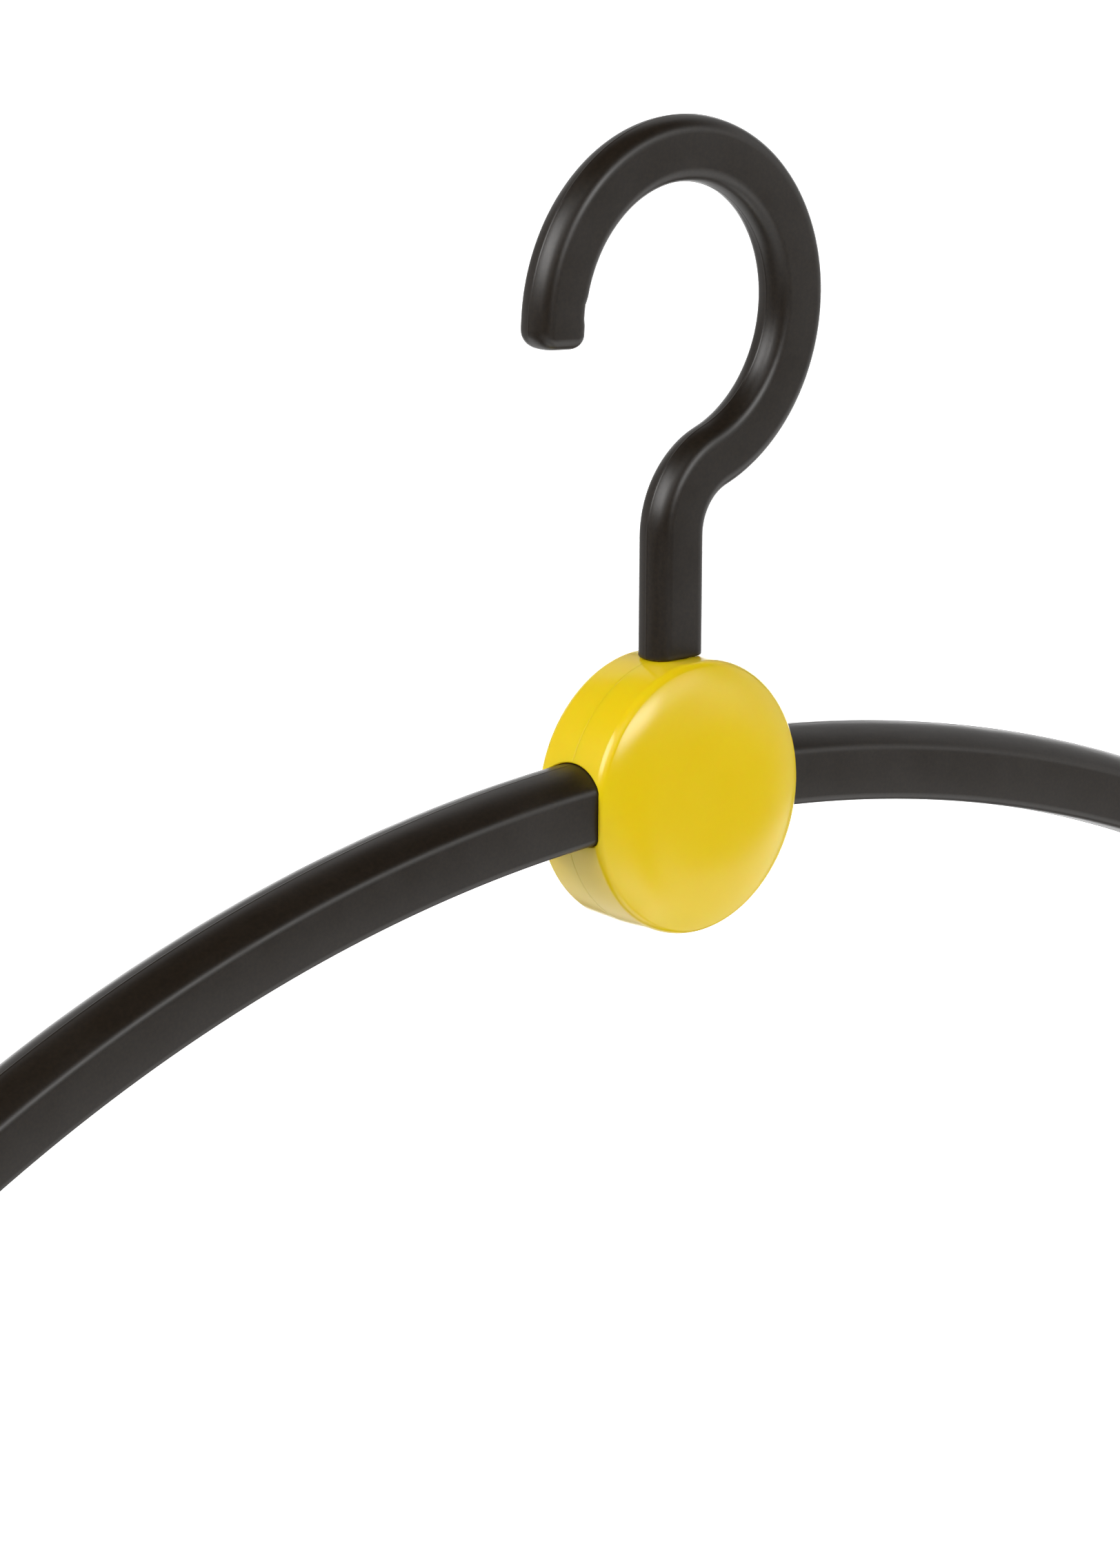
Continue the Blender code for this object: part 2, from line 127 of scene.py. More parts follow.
def turned(profile, segments, axis="Y", place=(0, 0, 0), name="cutter"):
    """Closed profile of (radius, along) spun round Z, or round Y with along running to -Y."""
    points, rows = [], []
    for radius, along in profile:
        count = 1 if radius < 1e-6 else segments
        rows.append((len(points), count))
        for k in range(count):
            angle = 2 * math.pi * k / segments
            x, y, z = radius * math.cos(angle), radius * math.sin(angle), along
            if axis == "Y":
                y, z = -z, y
            points.append((x + place[0], y + place[1], z + place[2]))
    faces = []
    for (first, first_count), (second, second_count) in zip(rows, rows[1:] + rows[:1]):
        if first_count == 1 and second_count == 1:
            continue
        for k in range(segments):
            j = (k + 1) % segments
            if first_count == 1:
                faces.append((first, second + j, second + k))
            elif second_count == 1:
                faces.append((first + k, first + j, second))
            else:
                faces.append((first + k, first + j, second + j, second + k))
    return closed_mesh(name, points, faces)


def rod(radius, start, end):
    """Profile of a plain cylinder."""
    return [(0, start), (radius, start), (radius, end), (0, end)]


def shade(mesh, sharp=None):
    """Smooth shading, with edges steeper than sharp degrees kept sharp."""
    mesh.shade_smooth()
    if sharp:
        mesh.set_sharp_from_angle(angle=math.radians(sharp))


def add(name, mesh, sharp=None):
    body = bpy.data.objects.new(name, mesh)
    bpy.context.scene.collection.objects.link(body)
    shade(mesh, sharp)
    return body


def cut_with(body, steps, sharp):
    """Applies EXACT Booleans to body, then shades it. steps holds (operation, mesh)."""
    tools = []
    for operation, mesh in steps:
        tool = bpy.data.objects.new("tool", mesh)
        bpy.context.scene.collection.objects.link(tool)
        tools.append(tool)
        boolean = body.modifiers.new(operation, "BOOLEAN")
        boolean.operation = operation
        boolean.solver = "EXACT"
        boolean.object = tool
    bpy.context.view_layer.update()
    graph = bpy.context.evaluated_depsgraph_get()
    made = bpy.data.meshes.new_from_object(body.evaluated_get(graph))
    body.modifiers.clear()
    body.data = made
    for tool in tools:
        bpy.data.objects.remove(tool, do_unlink=True)
    work = bmesh.new()
    work.from_mesh(made)
    bmesh.ops.dissolve_degenerate(work, dist=1e-7, edges=work.edges)
    work.to_mesh(made)
    work.free()
    shade(made, sharp)


def fine_section(width, depth, low_crown, high_crown, fillet, low_fillet=None, ridge=0.05,
                 crown_steps=18, fillet_steps=7):
    """Closed outline of (rise, y): flat front and back, circular crowns above and below, rounded
    corners, and a fine ridge standing on each crown. The number of points depends only on the
    step counts."""
    half = depth / 2
    slim = min(1.0, half / 2.0)           # narrows the ridge on thin sections

    def side(crown, fillet):
        crown_r = (crown * crown + half * half) / (2 * crown)
        centre = width / 2 - crown_r
        fillet_rise = centre + math.sqrt((crown_r - fillet) ** 2 - (half - fillet) ** 2)
        fillet_y = half - fillet
        join = math.atan2(fillet_y, fillet_rise - centre)
        ridge_foot = math.asin(0.34 * slim / crown_r)
        points = []
        for k in range(fillet_steps + 1):                # from the flat front round to the crown
            angle = math.pi / 2 + (join - math.pi / 2) * k / fillet_steps
            points.append((fillet_rise + fillet * math.cos(angle),
                           -(fillet_y + fillet * math.sin(angle))))
        for k in range(1, crown_steps + 1):
            angle = join + (ridge_foot - join) * k / crown_steps
            points.append((centre + crown_r * math.cos(angle), -crown_r * math.sin(angle)))
        for y, lift in ((0.24, 0.0), (0.13, ridge * 0.55), (0.06, ridge)):
            y *= slim
            points.append((centre + math.sqrt(crown_r * crown_r - y * y) + lift, -y))
        return points + [(rise, -y) for rise, y in reversed(points)]

    low = side(low_crown, low_fillet or fillet)
    return side(high_crown, fillet) + [(-rise, -y) for rise, y in low]


# ------------------------------------------------------------------ materials
class Graph:
    """Short calls that add linked nodes to the node tree of a material or world."""

    def __init__(self, owner):
        owner.use_nodes = True
        self.owner = owner
        self.nodes, self.links = owner.node_tree.nodes, owner.node_tree.links

    def fill(self, node, inputs):
        """Links each input to a socket, or sets its value; colours are given as RGB."""
        for key, value in inputs.items():
            target = node.inputs[key]
            if isinstance(value, bpy.types.NodeSocket):
                self.links.new(value, target)
            else:
                target.default_value = (*value, 1.0) if target.type == "RGBA" else value

    def add(self, kind, inputs, **settings):
        node = self.nodes.new("ShaderNode" + kind)
        for key, value in settings.items():
            setattr(node, key, value)
        self.fill(node, inputs)
        return node

    def calc(self, operation, first, second=None, clamp=False):
        inputs = {0: first} if second is None else {0: first, 1: second}
        return self.add("Math", inputs, operation=operation, use_clamp=clamp).outputs[0]

    def noise(self, vector, scale, detail=2.0, rough=0.5):
        inputs = {"Scale": scale, "Detail": detail, "Roughness": rough, "Vector": vector}
        return self.add("TexNoise", inputs).outputs["Fac"]

    def stretch(self, vector, **settings):
        """Mapping node; settings are its inputs in lower case."""
        inputs = {key.title(): value for key, value in settings.items()}
        return self.add("Mapping", {**inputs, "Vector": vector}).outputs["Vector"]

    def remap(self, value, span=(0.3, 0.7), to=(0.0, 1.0), kind="LINEAR"):
        inputs = {"From Min": span[0], "From Max": span[1], "To Min": to[0], "To Max": to[1],
                  "Value": value}
        node = self.add("MapRange", inputs, clamp=True, interpolation_type=kind)
        return node.outputs["Result"]

    def mix(self, factor, first, second):
        """Colour mix; 6, 7 and output 2 are the node's colour sockets."""
        return self.add("Mix", {0: factor, 6: first, 7: second}, data_type="RGBA").outputs[2]

    def bump(self, height, strength, distance, under=None):
        inputs = {"Strength": strength, "Distance": distance, "Height": height}
        if under is not None:
            inputs["Normal"] = under
        return self.add("Bump", inputs).outputs["Normal"]


def new_material(name):
    """Graph, Principled shader and object coordinates of a new material."""
    graph = Graph(bpy.data.materials.new(name))
    place = graph.add("TexCoord", {}).outputs["Object"]
    return graph, graph.nodes["Principled BSDF"], place


def black_plastic():
    """Satin black moulding: eroded grain, faint flow marks, slight shine and a little dust."""
    graph, shader, place = new_material("black_satin_plastic")
    grain = graph.noise(place, scale=5200.0, rough=0.6)
    mottle = graph.noise(place, scale=420.0, detail=3.0, rough=0.55)
    fleck = graph.noise(place, scale=1500.0, rough=0.55)
    cloud = graph.noise(place, scale=38.0, detail=3.0)
    flow = graph.noise(graph.stretch(place, scale=(0.18, 1.0, 0.18)), scale=900.0)

    # dust: a small pale dot in one Voronoi cell out of five
    cells = graph.add("TexVoronoi", {"Scale": 92.0, "Vector": place})
    dot = graph.remap(cells.outputs["Distance"], span=(0.010, 0.022), to=(1.0, 0.0))
    pick = graph.add("SeparateColor", {"Color": cells.outputs["Color"]}).outputs[0]
    dust = graph.calc("MULTIPLY", dot, graph.remap(pick, span=(0.80, 0.81)))

    tone = graph.mix(graph.remap(cloud), (0.0180, 0.0122, 0.0074), (0.0202, 0.0138, 0.0085))
    mottle_share = graph.remap(mottle, span=(0.35, 0.7), to=(0.0, 0.35))
    tone = graph.mix(mottle_share, tone, (0.0240, 0.0170, 0.0110))
    fleck_share = graph.remap(fleck, span=(0.35, 0.65), to=(0.0, 0.45))
    tone = graph.mix(fleck_share, tone, (0.0060, 0.0045, 0.0035))
    tone = graph.mix(graph.calc("MULTIPLY", dust, 0.75), tone, (0.42, 0.40, 0.36))

    middle = 0.36
    rough = graph.remap(cloud, to=(middle - 0.03, middle + 0.03))
    rough = graph.calc("ADD", rough, graph.remap(flow, to=(-0.025, 0.025)))
    rough = graph.calc("ADD", rough, graph.calc("MULTIPLY", dust, 0.4), clamp=True)

    normal = graph.bump(grain, strength=0.22, distance=0.00003)
    normal = graph.bump(mottle, strength=0.10, distance=0.00006, under=normal)
    normal = graph.bump(flow, strength=0.06, distance=0.00006, under=normal)
    graph.fill(shader, {"Base Color": tone, "Roughness": rough, "IOR": 1.51, "Normal": normal})
    return graph.owner


def yellow_plastic():
    """Glossy yellow moulding: slight waviness, pigment clouding and a few hairline rub marks."""
    graph, shader, place = new_material("yellow_gloss_plastic")
    cloud = graph.noise(place, scale=60.0)
    peel = graph.noise(place, scale=650.0, detail=1.0, rough=0.4)
    fine = graph.noise(place, scale=4200.0)
    streaks = graph.stretch(place, rotation=(0.3, 0.5, 0.2), scale=(1.0, 1.0, 0.06))
    rub = graph.noise(streaks, scale=2600.0, detail=1.0, rough=0.4)
    tone = graph.mix(graph.remap(cloud), (0.950, 0.660, 0.0085), (0.975, 0.685, 0.0105))

    middle = 0.17
    rough = graph.remap(cloud, to=(middle - 0.02, middle + 0.02))
    rough = graph.calc("ADD", rough, graph.remap(rub, span=(0.62, 0.8), to=(0.0, 0.06)))
    rough = graph.calc("ADD", rough, graph.remap(fine, to=(-0.012, 0.012)), clamp=True)

    normal = graph.bump(peel, strength=0.05, distance=0.00006)
    normal = graph.bump(fine, strength=0.05, distance=0.00001, under=normal)
    graph.fill(shader, {
        "Base Color": tone, "Roughness": rough, "IOR": 1.51, "Normal": normal,
        "Subsurface Weight": 0.25, "Subsurface Radius": (1.0, 0.5, 0.05),
        "Subsurface Scale": 0.0025})
    return graph.owner


def acetal():
    """Milky white plastic, faintly clouded."""
    graph, shader, place = new_material("natural_acetal")
    cloud = graph.noise(place, scale=240.0, detail=3.0)
    fine = graph.noise(place, scale=3500.0)
    graph.fill(shader, {
        "Base Color": graph.mix(cloud, (0.80, 0.79, 0.75), (0.86, 0.85, 0.82)),
        "Roughness": graph.remap(cloud, to=(0.34, 0.46)),
        "Subsurface Weight": 0.1, "Subsurface Scale": 0.001,
        "Normal": graph.bump(fine, strength=0.12, distance=0.00002)})
    return graph.owner


def metal(name, light, dark, rough):
    """Steel with patchy colour and roughness and a fine grain."""
    graph, shader, place = new_material(name)
    patch = graph.noise(place, scale=900.0, detail=3.0, rough=0.6)
    fine = graph.noise(place, scale=5200.0, rough=0.6)
    graph.fill(shader, {
        "Base Color": graph.mix(graph.remap(patch, span=(0.35, 0.7)), light, dark),
        "Metallic": 1.0,
        "Roughness": graph.calc("ADD", graph.remap(patch, to=(rough, rough + 0.12)),
                                graph.remap(fine, to=(-0.04, 0.04))),
        "Normal": graph.bump(fine, strength=0.2, distance=0.00002)})
    return graph.owner


BLACK, YELLOW, ACETAL = black_plastic(), yellow_plastic(), acetal()
ZINC = metal("zinc_plated_steel", light=(0.66, 0.67, 0.69), dark=(0.52, 0.52, 0.50), rough=0.24)
SPRING = metal("dark_spring_steel", light=(0.20, 0.20, 0.21), dark=(0.12, 0.11, 0.11), rough=0.34)


def paint(mesh, material):
    mesh.materials.clear()
    mesh.materials.append(material)


def finish_piece(body, material, rides_on, replaced):
    paint(body.data, material)
    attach(body, rides_on)
    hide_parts(replaced)


# ------------------------------------------------------------------ hook
def travel(station, distance, radius):
    """Station (x, z, heading, distance along) further on, along a straight (radius 0) or an arc
    (radius positive when anticlockwise seen from the front)."""
    x, z, heading, passed = station
    if not radius:
        return (x + distance * math.cos(heading), z + distance * math.sin(heading),
                heading, passed + distance)
    after = heading + distance / radius
    return (x + radius * (math.sin(after) - math.sin(heading)),
            z - radius * (math.cos(after) - math.cos(heading)), after, passed + distance)


def hook_path():
    """Stations from the stem's foot to the end of the loop."""
    bend = math.radians(BEND_ANGLE)
    bend_length, loop_length = BEND_R * bend, LOOP_R * math.radians(LOOP_ANGLE)
    # this straight puts the loop's centre in line with the stem
    link = (LOOP_R * math.cos(bend) - BEND_R * (1 - math.cos(bend))) / math.sin(bend)
    pieces = (                            # length, radius, number of steps
        (STEM_TOP - STEM_BASE, 0, 24),
        (bend_length, -BEND_R, math.ceil(bend_length / ARC_STEP)),
        (link, 0, 2),
        (loop_length, LOOP_R, math.ceil(loop_length / ARC_STEP)),
        (TIP_LENGTH, 0, 18),
    )
    stations = []
    start = (0.0, STEM_BASE, math.pi / 2, 0.0)
    for length, radius, count in pieces:
        stations += [travel(start, length * k / count, radius) for k in range(count)]
        start = travel(start, length, radius)
    return stations + [start]


def hook_outline(inner=0.0, outer=0.0, deep=0.0, pinch=0.0):
    """Section of the hook, drawn in on its inner edge, its outer edge and its two faces; pinch
    steps the inner edge in and leaves the crown's shape alone."""
    width, depth = HOOK_W - inner - outer, HOOK_D - 2 * deep
    crown = HOOK_CROWN * (depth / HOOK_D) * (width / HOOK_W) ** 0.3
    outline = fine_section(width, depth, crown, crown, min(HOOK_FILLET, 0.36 * depth),
                           ridge=0.045 * max(0.0, 1 - outer / 0.5))
    shift = (outer - inner) / 2
    return [(rise + shift - (pinch if rise > 0 else 0.0), y) for rise, y in outline]


def ring_at(x, z, heading, outline):
    """Outline set square to the path, its rise pointing to the left of the heading."""
    return [(x - rise * math.sin(heading), y, z + rise * math.cos(heading))
            for rise, y in outline]


def smooth(start, end, value):
    """Smooth step from 0 at start to 1 at end."""
    share = min(max((value - start) / (end - start), 0.0), 1.0)
    return share * share * (3 - 2 * share)


def rounding(radius, left):
    """How far an edge rounded to radius has drawn in, this far before the end."""
    past = min(max(radius - left, 0.0), radius)
    return radius - math.sqrt(radius * radius - past * past)


def neck_rings():
    """Round grooved neck below the stem, its points at the bearings of the hook's section."""
    bearings = [math.atan2(y, rise) for rise, y in hook_outline()]
    groove_low = GROOVE_TOP - GROOVE_WIDTH
    levels = (                            # radius, z
        (0.6, NECK_END), (2.2, NECK_END), (2.7, NECK_END), (3.1, NECK_END + 0.12),
        (3.38, NECK_END + 0.4), (NECK_R, NECK_END + 0.8),
        (NECK_R, groove_low - 0.08), (NECK_R - 0.08, groove_low), (GROOVE_R, groove_low),
        (GROOVE_R, GROOVE_TOP), (NECK_R - 0.08, GROOVE_TOP), (NECK_R, GROOVE_TOP + 0.08),
        (NECK_R, SEAT_Z), (NECK_R, STEM_BASE),
    )
    return [[(-radius * math.cos(a), radius * math.sin(a), z) for a in bearings]
            for radius, z in levels]


def foot_rings():
    """Flat underside of the stem with a small rounded edge."""
    levels = (                            # inset, height above the stem's base
        (1.6, 0.0), (0.35, 0.0), (0.22, 0.02), (0.12, 0.07), (0.04, 0.17), (0.0, 0.32))
    return [ring_at(0.0, STEM_BASE + lift, math.pi / 2, hook_outline(inset, inset, inset))
            for inset, lift in levels]


def tip_rings(end):
    """Rounded end of the hook, closed by a shallow dome."""
    x, z, heading, _ = end

    def ring(ahead, outline):
        return ring_at(x + ahead * math.cos(heading), z + ahead * math.sin(heading), heading,
                       outline)

    rings = []
    for k in range(1, 30):
        left = TIP_OUT * (1 - math.sin(math.radians(90.0 * k / 30)))
        inner, outer, deep = (rounding(radius, left) for radius in (TIP_IN, TIP_OUT, TIP_EDGE))
        pinch = PINCH * (1 - PINCH_EASE) * min(1.0, left / TIP_IN)
        rings.append(ring(-left, hook_outline(inner, outer, deep, pinch)))
    dome, last_half_w, last_half_d = 0.16, 0.3, 0.2
    for share in (0.25, 0.5, 0.75, 0.94):
        shrink = share * ((HOOK_W - inner - outer) / 2 - last_half_w)
        closing = hook_outline(inner + shrink, outer + shrink,
                               deep + share * (HOOK_D / 2 - deep - last_half_d))
        rings.append(ring(dome * math.sin(share * math.pi / 2), closing))
    return rings


def hook_rings():
    rings = neck_rings() + foot_rings()
    path = hook_path()
    end = path[-1]
    for x, z, heading, passed in path:
        left = end[3] - passed
        if passed <= 0.5 or left < TIP_OUT:              # the foot and the tip stand there
            continue
        pinch = PINCH * smooth(9.7, 8.6, left) * (1 - PINCH_EASE * smooth(5.7, 3.9, left))
        rings.append(ring_at(x, z, heading, hook_outline(pinch=pinch)))
    return rings + tip_rings(end)


hook = add("hook_moulding", loft(hook_rings(), "hook_moulding"), sharp=50)
finish_piece(hook, BLACK, "hook_body", "hook")


# ------------------------------------------------------------------ bow
def bow_outline(inset):
    width, depth = BOW_H - 2 * inset, BOW_D - 2 * inset
    scale = depth / BOW_D
    return fine_section(width, depth, BOW_BOTTOM_CROWN * scale, BOW_TOP_CROWN * scale,
                        min(BOW_FILLET, 0.32 * depth), min(BOW_FILLET_LOW, 0.32 * depth),
                        ridge=0.05 * max(0.0, 1 - inset / 0.6), crown_steps=BOW_CROWN_STEPS)


def bow_point(bearing, rise, y):
    """Point on the bow's curve; the bearing is measured from straight up towards +X."""
    return ((BOW_R + rise) * math.sin(bearing), y,
            BOW_Z - BOW_R + (BOW_R + rise) * math.cos(bearing))


def bow_at(bearing, outline):
    return [bow_point(bearing, rise, y) for rise, y in outline]


def bow_rings():
    bow_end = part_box("bow")[1].x / MM - 0.05
    stop = math.asin(bow_end / (BOW_R + 2.0)) - (BOW_END_R + BOW_END_DOME) / BOW_R
    count = 190
    half = [(stop * k / count, 0.0) for k in range(count + 1)]      # bearing, inset
    for k in range(1, 13):                               # rounded edge of the end
        angle = math.radians(90.0 * k / 13)
        half.append((stop + BOW_END_R * math.sin(angle) / BOW_R,
                     BOW_END_R * (1 - math.cos(angle))))
    for share in (0.4, 0.75, 0.95):                      # shallow dome closing the end
        ahead = BOW_END_R + BOW_END_DOME * math.sin(share * math.pi / 2)
        half.append((stop + ahead / BOW_R, 3.5 + share * (BOW_H / 2 - 3.75)))
    stations = [(-bearing, inset) for bearing, inset in reversed(half)] + half[1:]
    return [bow_at(bearing, bow_outline(inset)) for bearing, inset in stations]


bow = add("bow_moulding", loft(bow_rings(), "bow_moulding"), sharp=50)
pin_bore = turned(rod(PIN_BORE_R, -12, 12), 48, place=(0, 0, BOW_Z))
cut_with(bow, [("DIFFERENCE", pin_bore)], sharp=50)
finish_piece(bow, BLACK, "hanger_body", "bow")

# ------------------------------------------------------------------ hub shells
EDGE_CENTRE = HUB_R - RIM_DRAFT - EDGE_R                 # where the edge rounding is centred
FACE_SLOPE = math.atan(FACE_RISE * FACE_POWER / EDGE_CENTRE)
FACE_R = EDGE_CENTRE + EDGE_R * math.sin(FACE_SLOPE)     # where the face meets the rounding
FACE_FOOT = RIM_HALF + EDGE_R * math.cos(FACE_SLOPE)
CAVITY_R = HUB_R - WALL
INSIDE_DEPTH = CAVITY_HALF + 0.1          # inside parts run this deep, into the face's wall


def face_height(radius):
    """Distance of the pillow face from the parting plane."""
    return FACE_FOOT + FACE_RISE * (1 - (radius / FACE_R) ** FACE_POWER)


def rim_radius(y):
    y = abs(y)
    if y <= RIM_HALF:
        return HUB_R - RIM_DRAFT * (y / RIM_HALF) ** 1.5
    return EDGE_CENTRE + math.sqrt(max(EDGE_R ** 2 - (y - RIM_HALF) ** 2, 0.0))


def shell_profile():
    """(radius, distance from the parting plane): seam, rim, edge, face, then the cavity."""
    profile = [(HUB_R - 0.30, SEAM), (HUB_R - 0.02, SEAM), (HUB_R - 0.004, SEAM + 0.012),
               (HUB_R, SEAM + 0.035)]
    for k in range(1, 22):
        y = SEAM + 0.06 + (RIM_HALF - SEAM - 0.06) * k / 21
        profile.append((rim_radius(y), y))
    for k in range(1, 15):
        angle = (math.pi / 2 - FACE_SLOPE) * k / 14
        profile.append((EDGE_CENTRE + EDGE_R * math.cos(angle),
                        RIM_HALF + EDGE_R * math.sin(angle)))
    for k in range(1, 34):
        radius = FACE_R * (1 - k / 34)
        profile.append((radius, face_height(radius)))
    return profile + [(0.0, face_height(0.0)), (0.0, CAVITY_HALF), (CAVITY_R - 0.5, CAVITY_HALF),
                      (CAVITY_R, CAVITY_HALF - 0.5), (CAVITY_R, SEAM)]


def soften_crown(mesh):
    """Eases the rim's crown down to a small flat, so that the stem turns just clear of it."""
    top, soft = SPOT_FLAT + 0.2, 0.10
    for vertex in mesh.vertices:
        z = vertex.co.z / MM - HUB_Z
        if z < 23.2 or math.hypot(vertex.co.x / MM, z) < HUB_R - 1.6:
            continue
        over = z - top
        vertex.co.z -= (over + math.sqrt(over * over + soft * soft)) / 2 * MM


def borrow_normals(mesh, source):
    """Gives the cut shell the normals of the uncut one wherever its surface is still the old."""
    same_surface = 2e-5                   # metres
    places = [vertex.co.copy() for vertex in source.vertices]
    normals = [vertex.normal.copy() for vertex in source.vertices]
    triangles = [tuple(triangle.vertices) for triangle in source.loop_triangles]
    tree = BVHTree.FromPolygons(places, triangles)

    def normal_near(point):
        near, _, index, gap = tree.find_nearest(point)
        if gap > same_surface:
            return None
        corners = triangles[index]
        return barycentric_transform(near, *(places[i] for i in corners),
                                     *(normals[i] for i in corners)).normalized()

    corner_normals = np.zeros(len(mesh.loops) * 3, np.float32)
    mesh.corner_normals.foreach_get("vector", corner_normals)
    corner_normals = corner_normals.reshape(-1, 3)
    known = {}
    for face in mesh.polygons:
        if tree.find_nearest(face.center)[3] > same_surface:
            continue
        for i in face.loop_indices:
            vertex = mesh.loops[i].vertex_index
            if vertex not in known:
                known[vertex] = normal_near(mesh.vertices[vertex].co)
            normal = known[vertex]
            if normal is not None and normal.dot(face.normal) > 0.93:
                corner_normals[i] = normal
    mesh.normals_split_custom_set(corner_normals.tolist())


def window_tool(side):
    """Opening for the bow at one side of the rim (side is the sign of x): the bow's section with
    a close gap all round, flaring in a small rounded lip at the outside."""
    lip = 0.42
    levels = [(4.5, 0.0), (2.5, 0.0), (1.2, 0.0), (0.6, 0.0)]      # depth under the rim, flare
    for degrees in (0, 15, 30, 45, 60, 72):
        angle = math.radians(degrees)
        levels.append((lip * (1 - math.sin(angle)), lip * (1 - math.cos(angle))))
    depth, flare = levels[-1]
    levels += [(depth - 0.12, flare + 0.30), (depth - 1.6, flare + 0.60)]

    def bearing_at(rise, target):
        """Bearing along the bow at which a point stands target away from the hub's axis."""
        low, high = 0.0, 0.2
        for _ in range(40):
            middle = (low + high) / 2
            x, _, z = bow_point(middle, rise, 0.0)
            if math.hypot(x, z) < target:
                low = middle
            else:
                high = middle
        return low

    rings = []
    for depth, flare in levels:
        grow = BOW_GAP + flare
        outline = fine_section(BOW_H + 2 * grow, BOW_D + 2 * grow, BOW_BOTTOM_CROWN,
                               BOW_TOP_CROWN + 0.2 * grow, BOW_FILLET + grow,
                               BOW_FILLET_LOW + grow, ridge=0.0, crown_steps=BOW_CROWN_STEPS)
        ring = []
        for rise, y in outline:
            target = rim_radius(min(abs(y), RIM_HALF + EDGE_R * 0.97)) - depth
            x, y, z = bow_point(bearing_at(rise, target), rise, y)
            ring.append((side * x, y, z))
        rings.append(ring)
    return loft(rings)


def seat_block(y_low, y_high):
    """Block inside the top of the shell, round the hook's neck."""
    half_width, top = 7.6, 22.6
    return loft([[(-half_width, y_low, z), (half_width, y_low, z), (half_width, y_high, z),
                  (-half_width, y_high, z)] for z in (SEAT_Z, top)])


def ledge(above, y_low, y_high):
    """Rib inside the shell, along the bow, above or below it."""
    near = BOW_H / 2 + BOW_GAP
    low, high = (near, near + 1.5) if above else (-near - 1.4, -near)
    reach = math.asin((21.6 if above else 22.2) / BOW_R)
    corners = [(low, y_low), (low, y_high), (high, y_high), (high, y_low)]
    return loft([bow_at(reach * k / 12, corners) for k in range(-12, 13)])


def neck_bore():
    """Bore for the hook's neck, wider inside the shell."""
    return turned([(0, 16), (5.2, 16), (5.2, 23.2), (3.62, 23.2), (3.62, 30), (0, 30)], 96, "Z")


def screw_hole(front, x, z):
    """Blind hole in the front shell; through hole with a wide head recess in the rear one."""
    shank_r, head_r, recess_r = 1.4, 2.4, 3.1
    if front:
        profile = rod(shank_r, -1.0, 6.9)
    else:
        face = -face_height(math.hypot(x, z))
        profile = [(0, 1.0), (shank_r, 1.0), (shank_r, -5.0), (head_r, -5.0),
                   (head_r, face + 0.55), (2.55, face + 0.25), (recess_r, face - 0.6),
                   (recess_r, -14.0), (0, -14.0)]
    return turned(profile, 64, place=(x, 0, z))


def hub_shell(name, side, node):
    """side is the sign of y: -1 is the front shell, +1 the rear one."""
    front = side < 0
    mesh = turned(shell_profile(), 288, name=name)
    if not front:
        for vertex in mesh.vertices:
            vertex.co.y = -vertex.co.y
        mesh = outward(mesh)
    soften_crown(mesh)
    mesh.update()
    whole = mesh.copy()
    whole.calc_loop_triangles()
    body = add(name, mesh)

    y_low, y_high = sorted((side * SEAM, side * INSIDE_DEPTH))
    boss = rod(2.8 if front else 3.4, -y_high, -y_low)
    joined = [seat_block(y_low, y_high), ledge(True, y_low, y_high), ledge(False, y_low, y_high)]
    joined += [turned(boss, 64, place=(x, 0, z)) for x, z in SCREW_SPOTS]
    removed = [window_tool(-1), window_tool(1), neck_bore()]
    removed += [screw_hole(front, x, z) for x, z in SCREW_SPOTS]
    removed.append(turned(rod(PIN_BORE_R, -side * 5.0, -side * 9.1), 48, place=(0, 0, BOW_Z)))
    steps = [("UNION", tool) for tool in joined] + [("DIFFERENCE", tool) for tool in removed]
    cut_with(body, steps, sharp=34)
    borrow_normals(body.data, whole)
    bpy.data.meshes.remove(whole)
    finish_piece(body, YELLOW, "hanger_body", node)


hub_shell("hub_front", -1, "hub_front_shell")
hub_shell("hub_rear", 1, "hub_rear_shell")


# ------------------------------------------------------------------ screws
def screw(name, x, z):
    """Pan-head screw along Y, its point to the front and its cross-slotted head to the rear."""
    core_r, thread_r, pitch = 0.86, 1.12, 0.75
    profile = [(0, 6.4), (0.25, 6.3), (0.75, 5.5), (0.95, 5.1)]     # radius, along
    along = 4.9
    while along > -4.6:
        profile += [(core_r, along), (core_r, along - pitch * 0.35),
                    (thread_r, along - pitch * 0.6), (thread_r, along - pitch * 0.68)]
        along -= pitch
    profile += [
        (1.0, along - 0.1), (1.0, -5.22), (1.05, -5.3), (1.95, -5.3), (2.06, -5.36), (2.1, -5.5),
        (2.08, -5.75), (1.98, -6.1), (1.8, -6.38), (1.5, -6.58), (1.1, -6.68), (0.6, -6.72),
        (0, -6.73),
    ]
    body = add(name, turned(profile, 64, place=(x, 0, z), name=name))
    slot = ((5.55, 0.32, 0.16), (6.2, 1.0, 0.20), (7.2, 1.45, 0.26))  # y, half length, half width
    arms = ([(y, length, width) for y, length, width in slot],
            [(y, width, length) for y, length, width in slot])
    cutters = [loft([[(x - across, y, z - tall), (x + across, y, z - tall),
                      (x + across, y, z + tall), (x - across, y, z + tall)]
                     for y, across, tall in arm]) for arm in arms]
    cut_with(body, [("DIFFERENCE", cutter) for cutter in cutters], sharp=32)
    return body


for number, (x, z) in enumerate(SCREW_SPOTS, 1):
    finish_piece(screw(f"screw_{number}", x, z), ZINC, "hanger_body",
                 f"shell_screw_{number}")

